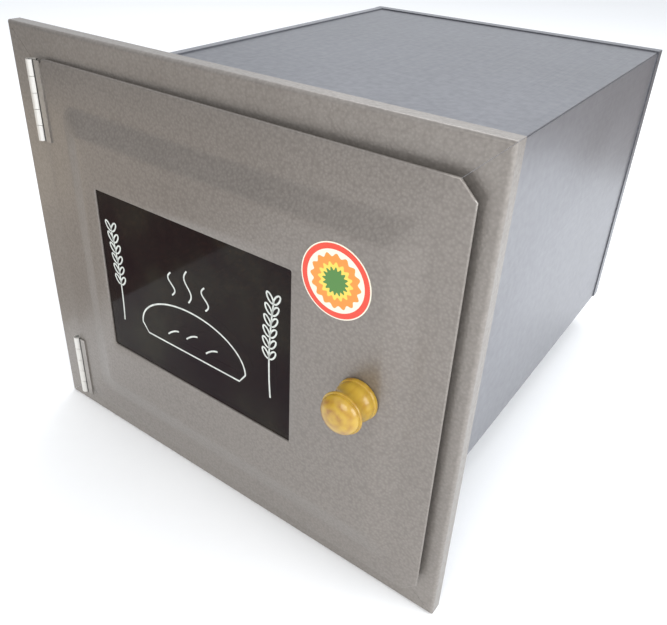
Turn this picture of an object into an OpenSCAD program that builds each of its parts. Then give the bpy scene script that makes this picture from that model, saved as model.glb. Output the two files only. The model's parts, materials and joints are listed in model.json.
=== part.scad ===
// Built-in sheet-metal oven for a wood stove: a mitred front frame, a seamed steel box behind it,
// a side-hung door with a window, and a wire rack on bent runners.
// Millimetres. +X is the viewer's right, +Y runs back into the stove, +Z is up. The origin is on the
// underside of the box, at its middle, in the plane where the frame's lip meets the stove wall.

/* [Front frame] */
// Width of the frame's side members
stile_w = 40.2; // [38:0.2:48]
// Width of the frame's top member
top_rail_w = 39.2; // [34:0.2:46]
// Width of the frame's bottom member
bottom_rail_w = 35.2; // [32:0.2:42]
// Depth of the frame from its front face back to the wall
lip_depth = 11; // [9:0.5:16]
// Sheet thickness of the frame
frame_sheet = 1.5; // [1:0.1:2]
// Outside radius of the bend along the frame's outer edge
frame_bend = 2.5; // [2.2:0.1:4]
// Width of the open line at each mitre
mitre_gap = 0.3; // [0.2:0.1:0.6]

/* [Box] */
// Width over the side panels
box_w = 322; // [290:1:360]
// Height over the top and bottom panels
box_h = 276; // [248:1:310]
// Depth behind the wall
box_depth = 453; // [320:1:560]
// Sheet thickness of the box
box_sheet = 1.2; // [0.8:0.1:1.6]
// Width of the front flanges that are welded behind the frame
flange_w = 10; // [6:0.5:14]
// Width of the folded seam along the left top edge
seam_w = 8; // [5:0.5:14]
// Width of the inward flanges that the top and bottom panels are welded to
lap_w = 11; // [6:0.5:14]
// Width of the rim folded round the back panel
rim_w = 11; // [6:0.5:16]
// Open line between two panels at a welded seam
seam_gap = 0.4; // [0.2:0.1:0.8]

/* [Runners and rack] */
// Height of the lower runner's ledge above the box underside
lower_runner_z = 91; // [60:1:110]
// Height of the upper runner's ledge above the box underside
upper_runner_z = 182; // [140:1:220]
// Width of a runner's ledge
runner_w = 14; // [10:0.5:20]
// Sheet thickness of a runner
runner_sheet = 1.5; // [1:0.1:2]
// Free length left in front of and behind the runners
runner_inset = 15; // [13:1:40]
// Distance from the wall plane back to the rack's front wire
rack_front = 67; // [60:1:90]
// Free space between the rack and the back panel
rack_back_gap = 3; // [2:1:40]
// Diameter of the rack's rim wire
rim_wire = 5; // [4:0.5:8]
// Diameter of the rack's inner wires
grid_wire = 3; // [2:0.5:4]
// Number of wires that run from front to back
grid_count = 17; // [9:1:25]
// Play on each side between the rack and its runners
rack_play = 1.5; // [0.5:0.5:3]
// Outside radius of the rack's corners
rack_corner = 14; // [10:1:24]

/* [Door] */
// Angle that the door stands off the frame on its catch
ajar = 0.7; // [0:0.1:1.5]
// Distance from the frame's right edge to the door
door_margin_right = 11.5; // [6:0.5:20]
// Distance from the frame's top edge to the door
door_margin_top = 21; // [16:0.5:26]
// Distance from the frame's bottom edge to the door
door_margin_bottom = 20; // [15:0.5:22]
// Side of the cut-off corners
door_chamfer = 10.5; // [4:0.5:16]
// Sheet thickness of the door skin
door_sheet = 1.1; // [0.8:0.1:1.3]
// Width of the hem folded back round the door skin
hem_w = 8; // [5:0.5:10]
// Clearance between the back of the door and the frame
door_clear = 1.3; // [1.2:0.1:3]
// Height of the pressed field above the door's border
field_h = 5; // [3:0.5:8]
// Width of the sloping sides of the pressed field
field_slope = 19; // [14:0.5:24]
// Distance from the door's left and right edges to the pressed field
field_margin_x = 24.5; // [18:0.5:30]
// Distance from the door's top edge to the pressed field
field_margin_top = 30; // [20:0.5:34]
// Distance from the door's bottom edge to the pressed field
field_margin_bottom = 17.5; // [12:0.5:26]
// Sheet thickness of the inner pan
pan_sheet = 0.8; // [0.6:0.1:1]
// Clearance between the inner pan and the mouth of the box
pan_clear = 4.8; // [4:0.2:8]
// Distance that the inner pan reaches behind the wall plane
pan_reach = 8; // [4:0.5:12]

/* [Window] */
// Distance from the door's left edge to the window opening
window_left = 60; // [56:0.5:70]
// Distance from the door's right edge to the window opening
window_right = 109.5; // [109:0.5:130]
// Distance from the door's top edge to the window opening
window_top = 85.5; // [70:0.5:95]
// Distance from the door's bottom edge to the window opening
window_bottom = 82; // [60:0.5:95]
// Thickness of the glass
glass_t = 4; // [3:0.5:5]
// How far the glass reaches behind the skin round the opening
glass_lap = 6; // [4:0.5:9]
// Clearance round the glass in its channel
glass_clear = 0.5; // [0.3:0.1:1]
// Sheet thickness of the channel that holds the glass
channel_sheet = 1; // [0.8:0.1:1.2]
// Width of the channel's welded flange
channel_flange = 8; // [6:0.5:12]

/* [Hinges] */
// Distance from the frame's left edge to the hinge pins
hinge_x = 27.4; // [24:0.2:30]
// Outside diameter of a hinge barrel
barrel_d = 6.5; // [6:0.1:7.5]
// Diameter of a hinge pin
pin_d = 3.2; // [2.8:0.1:3.4]
// Radial clearance of a pin in its knuckles
pin_clear = 0.05; // [0.03:0.01:0.08]
// Length of a hinge
hinge_len = 62; // [50:1:70]
// Distance from the door's top edge to the top of the upper hinge
upper_hinge_gap = 2; // [0:0.5:12]
// Distance from the door's bottom edge down to the end of the lower hinge
lower_hinge_drop = 4.5; // [0:0.5:5]
// Thickness of a hinge leaf
leaf_t = 1; // [0.8:0.1:1]
// Width of the door leaf from the pin to its free edge
door_leaf_w = 11; // [9:0.5:20]
// Width of the frame leaf from the pin to its free edge
frame_leaf_w = 12; // [9:0.5:12]
// Gap between two knuckles, and between a barrel and what it passes
knuckle_gap = 0.35; // [0.3:0.05:0.6]

/* [Knob and label] */
// Distance from the door's right edge to the knob's axis
knob_x = 54.5; // [50:0.5:62]
// Height of the knob's axis above the door's bottom edge
knob_z = 151.5; // [100:0.5:190]
// Length of the knob
knob_len = 34; // [28:0.5:44]
// Diameter of the knob's head
knob_head_d = 31.6; // [26:0.2:36]
// Diameter of the knob's foot
knob_foot_d = 27.2; // [22:0.2:30]
// Diameter of the screw that holds the knob
screw_d = 4.8; // [4:0.1:5.5]
// Diameter of the round label
label_d = 50; // [30:1:52]
// Thickness of the round label
label_t = 0.3; // [0.2:0.1:0.5]
// Distance from the door's right edge to the middle of the label
label_x = 76.5; // [74:0.5:78]
// Distance from the door's top edge down to the middle of the label
label_top = 80.5; // [76:0.5:84]

/* [Catch] */
// Length of the catch spring across the door's thickness
catch_len = 15; // [12:0.5:17]
// Width of the catch spring
catch_w = 12; // [8:1:20]
// Thickness of the catch spring
catch_t = 0.6; // [0.4:0.1:1]
// Height of the catch spring above the door's bottom edge
catch_z = 151; // [60:1:220]
// Gap between the relaxed spring and the mouth of the box
catch_gap = 0.6; // [0.5:0.1:1]

/* [Hidden] */
$fn = 64;
eps = 0.01;

box_x = box_w / 2;
mouth_x = box_x - box_sheet;
mouth_bottom = box_sheet;
mouth_top = box_h - box_sheet;
back_inside = box_depth - box_sheet;
runner_front = runner_inset;
runner_back = back_inside - runner_inset;

frame_w = 2 * (mouth_x + stile_w);
frame_left = -frame_w / 2;
frame_bottom = mouth_bottom - bottom_rail_w;
frame_top = mouth_top + top_rail_w;
front = -lip_depth;
frame_back = front + frame_sheet;

axis_x = frame_left + hinge_x;
axis_y = front - barrel_d / 2 - knuckle_gap;
door_left = axis_x + barrel_d / 2 + knuckle_gap * 2;
door_right = frame_w / 2 - door_margin_right;
door_bottom = frame_bottom + door_margin_bottom;
door_top = frame_top - door_margin_top;
door_back = front - door_clear;
door_front = door_back - 2 * door_sheet;
skin_back = door_front + door_sheet;
field_front = door_front - field_h;
field_back = field_front + door_sheet;
field_x = [door_left + field_margin_x, door_right - field_margin_x];
field_z = [door_bottom + field_margin_bottom, door_top - field_margin_top];

opening_x = [door_left + window_left, door_right - window_right];
opening_z = [door_bottom + window_bottom, door_top - window_top];
glass_back = field_back + glass_t;
channel_back = glass_back + channel_sheet;

knob_axis = [door_right - knob_x, door_bottom + knob_z];
screw_head_t = 3;
washer_t = 1;
screw_bite = knob_len * 0.6;

pan_x = [-mouth_x + pan_clear, mouth_x - pan_clear];
pan_z = [mouth_bottom + pan_clear, mouth_top - pan_clear];
pan_front = skin_back + pan_sheet;

upper_hinge = [door_top - upper_hinge_gap - hinge_len, door_top - upper_hinge_gap];
lower_hinge = [door_bottom - lower_hinge_drop, door_bottom - lower_hinge_drop + hinge_len];
knuckles = 5;
pin_bore = pin_d / 2 + pin_clear;

rack_x = mouth_x - runner_sheet - rack_play;
rack_depth = back_inside - rack_back_gap - rack_front;
rack_lift = 0.3;
weld_gap = 0.05;
rack_z = lower_runner_z + rack_lift + rim_wire / 2;

module slab(x, y, z) {
    translate([x[0], y[0], z[0]])
        cube([x[1] - x[0], y[1] - y[0], z[1] - z[0]]);
}

function grown(range, by) = [range[0] - by, range[1] + by];

// A box lying on its back with sloping sides: wide at y_wide, narrow at y_narrow.
module pressed_block(x, z, slope, y_wide, y_narrow) {
    intersection() {
        translate([0, 0, z[0]])
            linear_extrude(z[1] - z[0])
                polygon([[x[0], y_wide], [x[1], y_wide], [x[1] - slope, y_narrow], [x[0] + slope, y_narrow]]);
        translate([x[0], 0, 0])
            rotate([90, 0, 90])
                linear_extrude(x[1] - x[0])
                    polygon([[y_wide, z[0]], [y_wide, z[1]], [y_narrow, z[1] - slope], [y_narrow, z[0] + slope]]);
    }
}

// Everything on the door turns with it about the hinge pins.
module on_door() {
    translate([axis_x, axis_y, 0])
        rotate([0, 0, -ajar])
            translate([-axis_x, -axis_y, 0])
                children();
}

// Section of a frame member: x runs inwards from the outer edge, y runs back from the front face.
module frame_section(face) {
    translate([frame_bend, 0])
        square([face - frame_bend, frame_sheet]);
    translate([0, frame_bend])
        square([frame_sheet, lip_depth - frame_bend]);
    intersection() {
        translate([frame_bend, frame_bend])
            difference() {
                circle(frame_bend);
                circle(frame_bend - frame_sheet);
            }
        square(frame_bend);
    }
}

// One member with its outer edge at z = 0, lying along X, cut to the mitres at both ends.
module frame_member(length, face, left_face, right_face) {
    half = length / 2;
    cut = mitre_gap / 2;
    intersection() {
        rotate([0, 90, 0])
            linear_extrude(length, center = true)
                frame_section(face);
        translate([0, lip_depth + eps, 0])
            rotate([90, 0, 0])
                linear_extrude(lip_depth + 2 * eps)
                    polygon([
                        [-half + cut, eps], [half - cut, eps], [half - cut, 0],
                        [half - right_face - cut, -face], [half - right_face - cut, -face - eps],
                        [-half + left_face + cut, -face - eps], [-half + left_face + cut, -face], [-half + cut, 0]
                    ]);
    }
}

module frame_top_rail() {
    color("#8f8a83")
        translate([0, front, frame_top])
            frame_member(frame_w, top_rail_w, stile_w, stile_w);
}

module frame_bottom_rail() {
    color("#8f8a83")
        translate([0, front, frame_bottom])
            mirror([0, 0, 1])
                frame_member(frame_w, bottom_rail_w, stile_w, stile_w);
}

module frame_right_stile() {
    color("#8f8a83")
        translate([frame_w / 2, front, (frame_top + frame_bottom) / 2])
            rotate([0, 90, 0])
                frame_member(frame_top - frame_bottom, stile_w, top_rail_w, bottom_rail_w);
}

module frame_left_stile() {
    color("#8f8a83")
        translate([frame_left, front, (frame_top + frame_bottom) / 2])
            rotate([0, -90, 0])
                frame_member(frame_top - frame_bottom, stile_w, bottom_rail_w, top_rail_w);
}

// The left panel's top edge is folded over the top panel, which shows as a raised strip.
module left_panel() {
    color("#8d92a0") {
        slab([-box_x, -mouth_x], [frame_back, back_inside], [0, box_h + box_sheet]);
        slab([-mouth_x - flange_w, -mouth_x], [frame_back, frame_back + box_sheet], [0, mouth_top]);
        slab([-box_x, -box_x + seam_w], [seam_gap, box_depth - rim_w - seam_gap],
            [box_h, box_h + box_sheet]);
    }
}

// The right panel carries the top panel on an inward flange.
module right_panel() {
    color("#8d92a0") {
        slab([mouth_x, box_x], [frame_back, back_inside], [0, mouth_top]);
        slab([mouth_x, mouth_x + flange_w], [frame_back, frame_back + box_sheet], [0, mouth_top]);
        slab([mouth_x - lap_w, box_x], [frame_back + flange_w, back_inside],
            [mouth_top - box_sheet, mouth_top]);
    }
}

module top_panel() {
    color("#9a9fab") {
        slab([-mouth_x + seam_gap, box_x - seam_gap], [frame_back, back_inside], [mouth_top, box_h]);
        slab([-mouth_x + seam_gap, mouth_x], [frame_back, frame_back + box_sheet],
            [mouth_top, mouth_top + flange_w]);
    }
}

module bottom_panel() {
    color("#8d92a0") {
        slab([-mouth_x, mouth_x], [frame_back, back_inside], [0, box_sheet]);
        slab([-mouth_x, mouth_x], [frame_back, frame_back + box_sheet], [-flange_w, box_sheet]);
        for (side = [-1, 1])
            translate([side * (mouth_x - box_sheet / 2), 0, 0])
                slab([-box_sheet / 2, box_sheet / 2], [frame_back + flange_w, back_inside], [0, lap_w]);
    }
}

// The back panel is a pan: its rim wraps the sides and the top, and lies on the floor inside.
module back_panel() {
    rim_front = box_depth - rim_w;
    over = box_x + box_sheet;
    color("#8a8f9c") {
        slab([-over, over], [back_inside, box_depth], [0, box_h + box_sheet]);
        slab([-over, -box_x], [rim_front, box_depth], [0, box_h + box_sheet]);
        slab([box_x, over], [rim_front, box_depth], [0, box_h + box_sheet]);
        slab([-mouth_x, over], [rim_front, box_depth], [box_h, box_h + box_sheet]);
        slab([-mouth_x + 2 * box_sheet, mouth_x - 2 * box_sheet], [rim_front, box_depth],
            [box_sheet, 2 * box_sheet]);
    }
}

// An angle welded to the side panel: a ledge with a leg standing beside the rack.
module runner(side, height) {
    color("#7f8085")
        mirror([side < 0 ? 1 : 0, 0, 0]) {
            slab([mouth_x - runner_w, mouth_x], [runner_front, runner_back], [height - runner_sheet, height]);
            slab([mouth_x - runner_sheet, mouth_x], [runner_front, runner_back],
                [height - runner_sheet, height + runner_w]);
        }
}

module lower_left_runner() runner(-1, lower_runner_z);
module lower_right_runner() runner(1, lower_runner_z);
module upper_left_runner() runner(-1, upper_runner_z);
module upper_right_runner() runner(1, upper_runner_z);

module wire_along_x(length, d) {
    rotate([0, 90, 0])
        cylinder(h = length, d = d, center = true);
}

module wire_along_y(length, d) {
    rotate([90, 0, 0])
        cylinder(h = length, d = d, center = true);
}

module at_rack() {
    translate([0, rack_front + rack_depth / 2, rack_z])
        children();
}

// A rim of thick wire with round corners, and two cross bars under the thin wires.
module rack_frame() {
    bend = rack_corner - rim_wire / 2;
    half_x = rack_x - rim_wire / 2;
    half_y = rack_depth / 2 - rim_wire / 2;
    bar_d = rim_wire * 0.8;
    color("#b8b8ba")
        at_rack()
            for (side = [-1, 1]) {
                translate([side * half_x, 0, 0])
                    wire_along_y(2 * (half_y - bend), rim_wire);
                translate([0, side * half_y, 0])
                    wire_along_x(2 * (half_x - bend), rim_wire);
                translate([0, side * half_y / 3, (rim_wire - bar_d) / 2])
                    wire_along_x(2 * half_x, bar_d);
                for (end = [-1, 1])
                    translate([side * (half_x - bend), end * (half_y - bend), 0])
                        rotate([0, 0, side > 0 ? (end > 0 ? 0 : 270) : (end > 0 ? 90 : 180)])
                            rotate_extrude(angle = 90)
                                translate([bend, 0])
                                    circle(d = rim_wire);
            }
}

// The thin wires lie on the rim from front to back.
module rack_wires() {
    half_x = rack_x - rack_corner;
    pitch = 2 * half_x / (grid_count - 1);
    color("#c2c2c4")
        at_rack()
            for (i = [0 : grid_count - 1])
                translate([-half_x + i * pitch, 0, rim_wire / 2 + weld_gap + grid_wire / 2])
                    wire_along_y(rack_depth - grid_wire, grid_wire);
}

// The door's outline, with its four corners cut off, grown or shrunk by a margin.
module door_outline(margin = 0) {
    x = grown([door_left, door_right], margin);
    z = grown([door_bottom, door_top], margin);
    c = door_chamfer;
    polygon([
        [x[0] + c, z[0]], [x[1] - c, z[0]], [x[1], z[0] + c], [x[1], z[1] - c],
        [x[1] - c, z[1]], [x[0] + c, z[1]], [x[0], z[1] - c], [x[0], z[0] + c]
    ]);
}

module door_plate(margin, y) {
    translate([0, y[1], 0])
        rotate([90, 0, 0])
            linear_extrude(y[1] - y[0])
                door_outline(margin);
}

module knob_bore(r, y) {
    translate([knob_axis[0], y[1], knob_axis[1]])
        rotate([90, 0, 0])
            cylinder(h = y[1] - y[0], r = r);
}

// The skin: a flat hemmed border, a field pressed outwards, the window opening and the screw hole.
module door_skin() {
    screw_hole = screw_d / 2 + 0.3;
    color("#938d86")
        on_door()
            difference() {
                union() {
                    door_plate(0, [door_front, door_back]);
                    pressed_block(field_x, field_z, field_slope, door_front + eps, field_front);
                }
                door_plate(-hem_w, [skin_back, door_back + 1]);
                pressed_block(field_x, field_z, field_slope, skin_back + eps, field_back);
                slab(opening_x, [field_front - 1, field_back + 1], opening_z);
                knob_bore(screw_hole, [field_front - 1, field_back + 1]);
            }
}

// The inner pan: a flange inside the hem, four walls that enter the mouth and a back with a window.
module door_pan() {
    well = channel_back + 0.5;
    color("#9b9a97")
        on_door()
            difference() {
                union() {
                    door_plate(-hem_w - 0.3, [skin_back, pan_front]);
                    slab(pan_x, [skin_back, pan_reach], pan_z);
                }
                difference() {
                    slab(grown(pan_x, -pan_sheet), [skin_back - 1, pan_reach - pan_sheet],
                        grown(pan_z, -pan_sheet));
                    slab(grown(opening_x, pan_sheet), [well, pan_reach], grown(opening_z, pan_sheet));
                }
                slab(opening_x, [skin_back - 1, pan_reach + 1], opening_z);
                catch_rivet_rods(rivet_d / 2 + pin_clear, [-pan_sheet - 1, 1]);
            }
}

module door_glass() {
    color("#1c1718")
        on_door()
            slab(grown(opening_x, glass_lap), [field_back, glass_back], grown(opening_z, glass_lap));
}

// A channel welded behind the skin: a flange, a wall round the glass and a lip behind it.
module glass_channel() {
    inner = glass_lap + glass_clear;
    outer = inner + channel_sheet;
    color("#85868a")
        on_door()
            difference() {
                union() {
                    slab(grown(opening_x, outer + channel_flange), [field_back, field_back + channel_sheet],
                        grown(opening_z, outer + channel_flange));
                    slab(grown(opening_x, outer), [field_back, channel_back], grown(opening_z, outer));
                }
                slab(grown(opening_x, inner), [field_back - 1, glass_back], grown(opening_z, inner));
                slab(opening_x, [field_back - 1, channel_back + 1], opening_z);
            }
}

// One leaf with its knuckles. The parity says which knuckles it has: 0 for the frame, 1 for the door.
module hinge_leaf(z, parity, leaf_y, reach, start) {
    pitch = hinge_len / knuckles;
    r = barrel_d / 2;
    difference() {
        union() {
            slab([axis_x + start, axis_x + reach], leaf_y, z);
            for (i = [parity : 2 : knuckles - 1])
                translate([axis_x, axis_y, z[0] + i * pitch + knuckle_gap / 2])
                    cylinder(h = pitch - knuckle_gap, r = r);
        }
        for (i = [1 - parity : 2 : knuckles - 1])
            slab([axis_x - r - 1, axis_x + r + knuckle_gap], [leaf_y[0] - r, leaf_y[1] + r],
                [z[0] + i * pitch - knuckle_gap / 2, z[0] + (i + 1) * pitch + knuckle_gap / 2]);
        translate([axis_x, axis_y, z[0] - 1])
            cylinder(h = hinge_len + 2, r = pin_bore);
    }
}

module frame_leaf(z) {
    color("#8f8a83")
        hinge_leaf(z, 0, [front - leaf_t, front], frame_leaf_w, 0);
}

module door_leaf(z) {
    color("#a09b94")
        on_door()
            hinge_leaf(z, 1, [door_front - leaf_t, door_front], door_leaf_w, pin_bore + 0.6);
}

module hinge_pin(z) {
    color("#77777a")
        translate([axis_x, axis_y, z[0]])
            cylinder(h = hinge_len, d = pin_d);
}

module upper_hinge_frame_leaf() frame_leaf(upper_hinge);
module upper_hinge_door_leaf() door_leaf(upper_hinge);
module upper_hinge_pin() hinge_pin(upper_hinge);
module lower_hinge_frame_leaf() frame_leaf(lower_hinge);
module lower_hinge_door_leaf() door_leaf(lower_hinge);
module lower_hinge_pin() hinge_pin(lower_hinge);

// Turned profile of the knob: x is the radius, y runs out from the door. The head is a ball's cap.
module knob_profile() {
    head_r = knob_head_d / 2;
    foot_r = knob_foot_d / 2;
    waist_r = foot_r - 2.2;
    collar = knob_len * 0.56;
    dome = knob_len - collar - 1;
    ball_r = (head_r * head_r + dome * dome) / (2 * dome);
    polygon([
        [0, 0], [foot_r - 1.6, 0], [foot_r - 0.4, 1], [foot_r, 3], [foot_r - 0.3, 6],
        [foot_r - 1.4, 10], [waist_r, 13], [waist_r + 0.4, 15], [head_r - 1.4, collar - 1],
        [head_r - 0.4, collar - 0.3], [head_r - 1.2, collar + 0.4], [head_r - 1.2, collar + 1], [0, collar + 1]
    ]);
    intersection() {
        translate([0, knob_len - ball_r])
            circle(ball_r);
        translate([0, knob_len - dome])
            square([ball_r, dome]);
    }
}

module knob() {
    color("#d7aa28")
        on_door()
            translate([knob_axis[0], field_front, knob_axis[1]])
                rotate([90, 0, 0])
                    difference() {
                        rotate_extrude()
                            knob_profile();
                        translate([0, 0, -1])
                            cylinder(h = screw_bite + 2, r = screw_d / 2 + 0.05);
                    }
}

module knob_washer() {
    color("#9a9a9c")
        on_door()
            difference() {
                knob_bore(screw_d * 1.45, [field_back, field_back + washer_t]);
                knob_bore(screw_d / 2 + 0.2, [field_back - 1, field_back + washer_t + 1]);
            }
}

module knob_screw() {
    seat = field_back + washer_t;
    color("#8b8b8e")
        on_door()
            difference() {
                union() {
                    knob_bore(screw_d / 2, [field_front - screw_bite, seat + eps]);
                    knob_bore(screw_d * 0.85, [seat, seat + screw_head_t]);
                }
                slab(grown([knob_axis[0], knob_axis[0]], 0.5), [seat + screw_head_t - 1.2, seat + screw_head_t + 1],
                    grown([knob_axis[1], knob_axis[1]], screw_d));
            }
}

catch_x = pan_x[1];
catch_mid = door_bottom + catch_z;
catch_y = [pan_reach - 1.5 - catch_len, pan_reach - 1.5];
catch_bulge = pan_clear - catch_gap;
catch_foot = 5.2;
rivet_d = 2.4;
rivet_y = catch_y[1] - catch_foot / 2;
rivet_head_t = 0.8;

// The two rivets' places, as cylinders that run from one distance off the pan's wall to another.
module catch_rivet_rods(r, reach) {
    for (side = [-1, 1])
        translate([catch_x + reach[0], rivet_y, catch_mid + side * catch_w / 4])
            rotate([0, 90, 0])
                cylinder(h = reach[1] - reach[0], r = r);
}

// A strip of spring steel riveted to the pan's wall. Its bulge rubs on the mouth of the box.
module catch_spring() {
    crest = (catch_y[0] + catch_y[1] - catch_foot) / 2;
    root = catch_y[1] - catch_foot;
    color("#8f9195")
        on_door()
            difference() {
                translate([catch_x, 0, catch_mid - catch_w / 2])
                    linear_extrude(catch_w)
                        polygon([
                            [0, catch_y[1]], [0, root], [catch_bulge - catch_t, crest], [catch_t, catch_y[0]],
                            [catch_t * 2, catch_y[0]], [catch_bulge, crest], [catch_t, root], [catch_t, catch_y[1]]
                        ]);
                catch_rivet_rods(rivet_d / 2 + pin_clear, [-1, catch_t + 1]);
            }
}

module catch_rivets() {
    head_r = rivet_d * 0.85;
    color("#a5a6a8")
        on_door() {
            catch_rivet_rods(head_r, [catch_t, catch_t + rivet_head_t]);
            catch_rivet_rods(rivet_d / 2, [-pan_sheet - eps, catch_t + eps]);
            catch_rivet_rods(head_r, [-pan_sheet - rivet_head_t, -pan_sheet]);
        }
}

module round_label() {
    color("#c8402a")
        on_door()
            translate([door_right - label_x, field_front, door_top - label_top])
                rotate([90, 0, 0])
                    cylinder(h = label_t, d = label_d);
}

frame_top_rail();
frame_bottom_rail();
frame_left_stile();
frame_right_stile();
left_panel();
right_panel();
top_panel();
bottom_panel();
back_panel();
lower_left_runner();
lower_right_runner();
upper_left_runner();
upper_right_runner();
rack_frame();
rack_wires();
door_skin();
door_pan();
door_glass();
glass_channel();
upper_hinge_frame_leaf();
upper_hinge_door_leaf();
upper_hinge_pin();
lower_hinge_frame_leaf();
lower_hinge_door_leaf();
lower_hinge_pin();
knob();
knob_screw();
knob_washer();
catch_spring();
catch_rivets();
round_label();
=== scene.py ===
# Looks for the built-in wood stove oven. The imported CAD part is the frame, in metres.
import json
import math

import bmesh
import bpy
from mathutils import Matrix, Vector


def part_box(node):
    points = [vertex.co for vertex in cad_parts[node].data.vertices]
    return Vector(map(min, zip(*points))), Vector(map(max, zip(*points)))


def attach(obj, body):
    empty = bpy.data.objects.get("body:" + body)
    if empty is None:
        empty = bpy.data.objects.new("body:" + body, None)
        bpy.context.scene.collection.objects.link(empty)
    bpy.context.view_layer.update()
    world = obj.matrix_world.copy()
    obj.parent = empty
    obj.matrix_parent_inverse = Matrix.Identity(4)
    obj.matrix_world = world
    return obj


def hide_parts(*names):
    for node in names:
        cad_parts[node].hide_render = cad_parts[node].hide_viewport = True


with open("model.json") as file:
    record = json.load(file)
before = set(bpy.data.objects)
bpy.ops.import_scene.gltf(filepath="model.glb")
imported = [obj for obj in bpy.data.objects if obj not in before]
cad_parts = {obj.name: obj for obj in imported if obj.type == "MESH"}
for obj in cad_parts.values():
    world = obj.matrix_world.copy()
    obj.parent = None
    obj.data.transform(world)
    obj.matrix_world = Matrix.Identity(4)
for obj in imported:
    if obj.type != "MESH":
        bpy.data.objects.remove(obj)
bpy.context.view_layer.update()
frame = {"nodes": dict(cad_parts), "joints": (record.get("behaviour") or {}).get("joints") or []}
mm = 0.001
print("stage: frame loaded,", len(frame["nodes"]), "nodes")

hinge = next(j for j in frame["joints"] if j["name"] == "door_hinge")
doorAjar = 0.7
doorTurn = (
    Matrix.Translation(Vector(hinge["pos_m"]))
    @ Matrix.Rotation(math.radians(-doorAjar), 4, "Z")
    @ Matrix.Translation(-Vector(hinge["pos_m"]))
)


# Shader helpers


def addNode(tree, kind, at=(0, 0), **values):
    node = tree.nodes.new(kind)
    node.location = at
    for key, value in values.items():
        if hasattr(node, key):
            setattr(node, key, value)
        else:
            node.inputs[key.replace("_", " ").title()].default_value = value
    return node


def setInput(node, name, value):
    node.inputs[name].default_value = value


def ramp(tree, at, stops, mode="LINEAR"):
    node = tree.nodes.new("ShaderNodeValToRGB")
    node.location = at
    node.color_ramp.interpolation = mode
    elements = node.color_ramp.elements
    while len(elements) < len(stops):
        elements.new(0.5)
    for element, (place, colour) in zip(elements, stops):
        element.position = place
        element.color = (*colour, 1) if len(colour) == 3 else colour
    return node


def newGroup(name, inputs, outputs):
    group = bpy.data.node_groups.new(name, "ShaderNodeTree")
    for label, kind, value in inputs:
        socket = group.interface.new_socket(label, in_out="INPUT", socket_type=kind)
        if value is not None:
            socket.default_value = value
    for label, kind in outputs:
        group.interface.new_socket(label, in_out="OUTPUT", socket_type=kind)
    start = addNode(group, "NodeGroupInput", (-900, 0))
    end = addNode(group, "NodeGroupOutput", (700, 0))
    return group, start, end


def useGroup(tree, group, at, **values):
    node = tree.nodes.new("ShaderNodeGroup")
    node.node_tree = group
    node.location = at
    for key, value in values.items():
        node.inputs[key].default_value = value
    return node


def newMaterial(name):
    material = bpy.data.materials.new(name)
    material.use_nodes = True
    tree = material.node_tree
    shader = tree.nodes["Principled BSDF"]
    coords = addNode(tree, "ShaderNodeTexCoord", (-1100, 0))
    return material, tree, shader, coords.outputs["Object"]


# Hammer paint: small raised islands with a leafing that is lighter on top than in the valleys.
def makeHammerGroup():
    group, start, end = newGroup(
        "hammerTexture",
        [
            ("Vector", "NodeSocketVector", None),
            ("Scale", "NodeSocketFloat", 330.0),
            ("Warp", "NodeSocketFloat", 0.0012),
        ],
        [("Height", "NodeSocketFloat"), ("Leaf", "NodeSocketFloat")],
    )
    link = group.links.new
    warpNoise = addNode(group, "ShaderNodeTexNoise", (-900, -300))
    setInput(warpNoise, "Scale", 420.0)
    setInput(warpNoise, "Detail", 2.0)
    link(start.outputs["Vector"], warpNoise.inputs["Vector"])
    centred = addNode(group, "ShaderNodeVectorMath", (-700, -300), operation="SUBTRACT")
    centred.inputs[1].default_value = (0.5, 0.5, 0.5)
    link(warpNoise.outputs["Color"], centred.inputs[0])
    shifted = addNode(group, "ShaderNodeVectorMath", (-520, -200), operation="MULTIPLY_ADD")
    link(centred.outputs[0], shifted.inputs[0])
    joined = addNode(group, "ShaderNodeCombineXYZ", (-700, -120))
    for axis in range(3):
        link(start.outputs["Warp"], joined.inputs[axis])
    link(joined.outputs[0], shifted.inputs[1])
    link(start.outputs["Vector"], shifted.inputs[2])
    cells = addNode(group, "ShaderNodeTexVoronoi", (-320, 120), feature="SMOOTH_F1")
    setInput(cells, "Smoothness", 0.7)
    link(shifted.outputs[0], cells.inputs["Vector"])
    link(start.outputs["Scale"], cells.inputs["Scale"])
    fine = addNode(group, "ShaderNodeTexNoise", (-320, -160))
    setInput(fine, "Scale", 900.0)
    setInput(fine, "Detail", 3.0)
    link(start.outputs["Vector"], fine.inputs["Vector"])
    hills = addNode(group, "ShaderNodeMapRange", (-100, 120))
    setInput(hills, "From Min", 0.1)
    setInput(hills, "From Max", 0.75)
    setInput(hills, "To Min", 1.0)
    setInput(hills, "To Max", 0.0)
    link(cells.outputs["Distance"], hills.inputs["Value"])
    total = addNode(group, "ShaderNodeMath", (120, 60), operation="MULTIPLY_ADD")
    total.inputs[1].default_value = 0.25
    link(fine.outputs["Fac"], total.inputs[0])
    link(hills.outputs[0], total.inputs[2])
    link(total.outputs[0], end.inputs["Height"])
    link(hills.outputs[0], end.inputs["Leaf"])
    return group


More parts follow.
